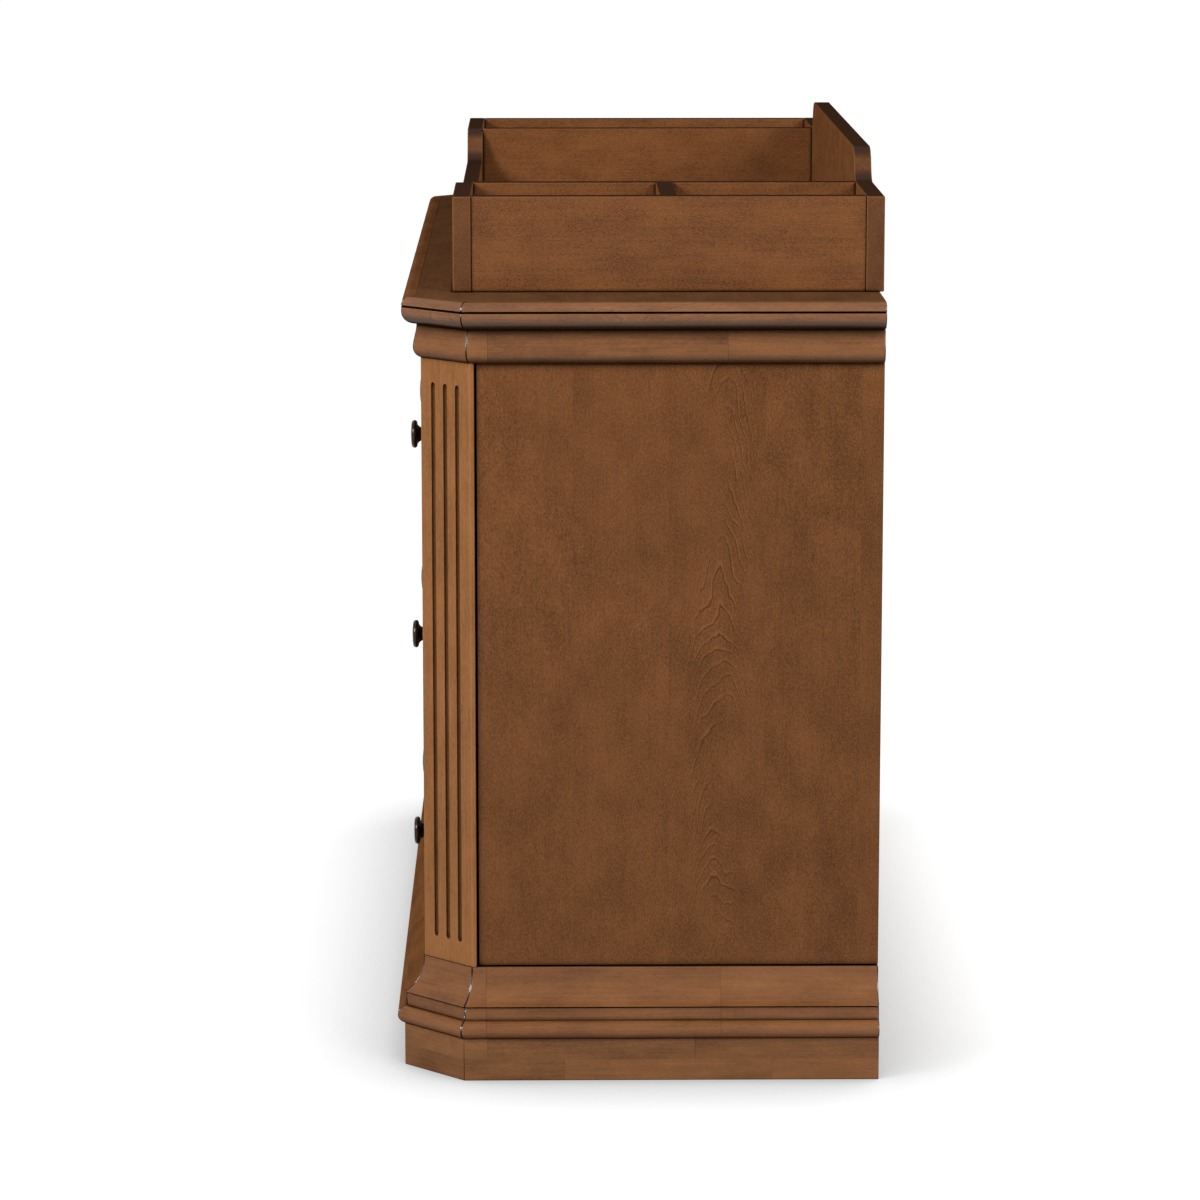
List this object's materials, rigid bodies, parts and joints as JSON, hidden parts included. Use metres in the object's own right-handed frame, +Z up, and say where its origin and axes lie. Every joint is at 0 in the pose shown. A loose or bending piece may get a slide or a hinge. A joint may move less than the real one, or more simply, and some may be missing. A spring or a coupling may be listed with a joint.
{
  "type": "double dresser",
  "caption": "Wide chest of two columns of drawers on hidden runners, with fluted canted corner posts, mitred mouldings, a plinth and a lift-off sorting tray on the top.",
  "frame": {"origin": "middle of the footprint on the floor", "axes": "+X to the right along the width, -Y out of the drawer fronts, +Z up"},
  "size_m": [1.381, 0.5394, 1.0075],
  "materials": {
    "stained_wood": "brown stain and dark glaze under satin lacquer",
    "inner_wood": "clear sealed, unstained",
    "knob_bronze": "oil-rubbed bronze, polished",
    "runner_steel": "zinc plated sheet"
  },
  "bodies": {
    "case": {"top_panel": "stained_wood", "top_edging": "stained_wood", "crown_moulding": "stained_wood", "upper_frame": "inner_wood", "upper_rear_rail": "inner_wood", "top_cleats": "inner_wood", "side_panel_left": "stained_wood", "side_panel_right": "stained_wood", "corner_post_left": "stained_wood", "corner_post_right": "stained_wood", "face_stiles": "stained_wood", "drawer_rails": "stained_wood", "centre_partition": "inner_wood", "back_panel": "inner_wood", "bottom_panel": "inner_wood", "lower_frame": "inner_wood", "lower_rear_rail": "inner_wood", "glue_blocks": "inner_wood", "base_moulding": "stained_wood", "plinth_boards": "stained_wood", "runner_cleats": "inner_wood", "runner_case_members": "runner_steel"},
    "drawer_top_left": {"front_top_left": "stained_wood", "box_top_left": "inner_wood", "knobs_top_left": "knob_bronze", "runner_drawer_members_top_left": "runner_steel"},
    "runner_top_left": {"runner_middles_top_left": "runner_steel"},
    "drawer_top_right": {"front_top_right": "stained_wood", "box_top_right": "inner_wood", "knobs_top_right": "knob_bronze", "runner_drawer_members_top_right": "runner_steel"},
    "runner_top_right": {"runner_middles_top_right": "runner_steel"},
    "drawer_middle_left": {"front_middle_left": "stained_wood", "box_middle_left": "inner_wood", "knobs_middle_left": "knob_bronze", "runner_drawer_members_middle_left": "runner_steel"},
    "runner_middle_left": {"runner_middles_middle_left": "runner_steel"},
    "drawer_middle_right": {"front_middle_right": "stained_wood", "box_middle_right": "inner_wood", "knobs_middle_right": "knob_bronze", "runner_drawer_members_middle_right": "runner_steel"},
    "runner_middle_right": {"runner_middles_middle_right": "runner_steel"},
    "drawer_bottom_left": {"front_bottom_left": "stained_wood", "box_bottom_left": "inner_wood", "knobs_bottom_left": "knob_bronze", "runner_drawer_members_bottom_left": "runner_steel"},
    "runner_bottom_left": {"runner_middles_bottom_left": "runner_steel"},
    "drawer_bottom_right": {"front_bottom_right": "stained_wood", "box_bottom_right": "inner_wood", "knobs_bottom_right": "knob_bronze", "runner_drawer_members_bottom_right": "runner_steel"},
    "runner_bottom_right": {"runner_middles_bottom_right": "runner_steel"},
    "tray": {"tray_front_rail": "stained_wood", "tray_back_rail": "stained_wood", "tray_end_boards": "stained_wood", "tray_partitions": "stained_wood", "tray_divider": "stained_wood"}
  },
  "joints": [
    {"name": "drawer_top_left_slide", "type": "slide", "parent": "case", "child": "drawer_top_left", "axis": [0, -1, 0], "range_m": [0, 0.36]},
    {"name": "runner_top_left_slide", "type": "slide", "parent": "case", "child": "runner_top_left", "axis": [0, -1, 0], "range_m": [0, 0.18]},
    {"name": "drawer_top_right_slide", "type": "slide", "parent": "case", "child": "drawer_top_right", "axis": [0, -1, 0], "range_m": [0, 0.36]},
    {"name": "runner_top_right_slide", "type": "slide", "parent": "case", "child": "runner_top_right", "axis": [0, -1, 0], "range_m": [0, 0.18]},
    {"name": "drawer_middle_left_slide", "type": "slide", "parent": "case", "child": "drawer_middle_left", "axis": [0, -1, 0], "range_m": [0, 0.36]},
    {"name": "runner_middle_left_slide", "type": "slide", "parent": "case", "child": "runner_middle_left", "axis": [0, -1, 0], "range_m": [0, 0.18]},
    {"name": "drawer_middle_right_slide", "type": "slide", "parent": "case", "child": "drawer_middle_right", "axis": [0, -1, 0], "range_m": [0, 0.36]},
    {"name": "runner_middle_right_slide", "type": "slide", "parent": "case", "child": "runner_middle_right", "axis": [0, -1, 0], "range_m": [0, 0.18]},
    {"name": "drawer_bottom_left_slide", "type": "slide", "parent": "case", "child": "drawer_bottom_left", "axis": [0, -1, 0], "range_m": [0, 0.36]},
    {"name": "runner_bottom_left_slide", "type": "slide", "parent": "case", "child": "runner_bottom_left", "axis": [0, -1, 0], "range_m": [0, 0.18]},
    {"name": "drawer_bottom_right_slide", "type": "slide", "parent": "case", "child": "drawer_bottom_right", "axis": [0, -1, 0], "range_m": [0, 0.36]},
    {"name": "runner_bottom_right_slide", "type": "slide", "parent": "case", "child": "runner_bottom_right", "axis": [0, -1, 0], "range_m": [0, 0.18]},
    {"name": "tray_lift", "type": "slide", "parent": "case", "child": "tray", "axis": [0, 0, 1], "range_m": [0, 0.25]}
  ],
  "couplings": [
    {"joint": "runner_top_left_slide", "follows": "drawer_top_left_slide", "ratio": 0.5},
    {"joint": "runner_top_right_slide", "follows": "drawer_top_right_slide", "ratio": 0.5},
    {"joint": "runner_middle_left_slide", "follows": "drawer_middle_left_slide", "ratio": 0.5},
    {"joint": "runner_middle_right_slide", "follows": "drawer_middle_right_slide", "ratio": 0.5},
    {"joint": "runner_bottom_left_slide", "follows": "drawer_bottom_left_slide", "ratio": 0.5},
    {"joint": "runner_bottom_right_slide", "follows": "drawer_bottom_right_slide", "ratio": 0.5}
  ]
}
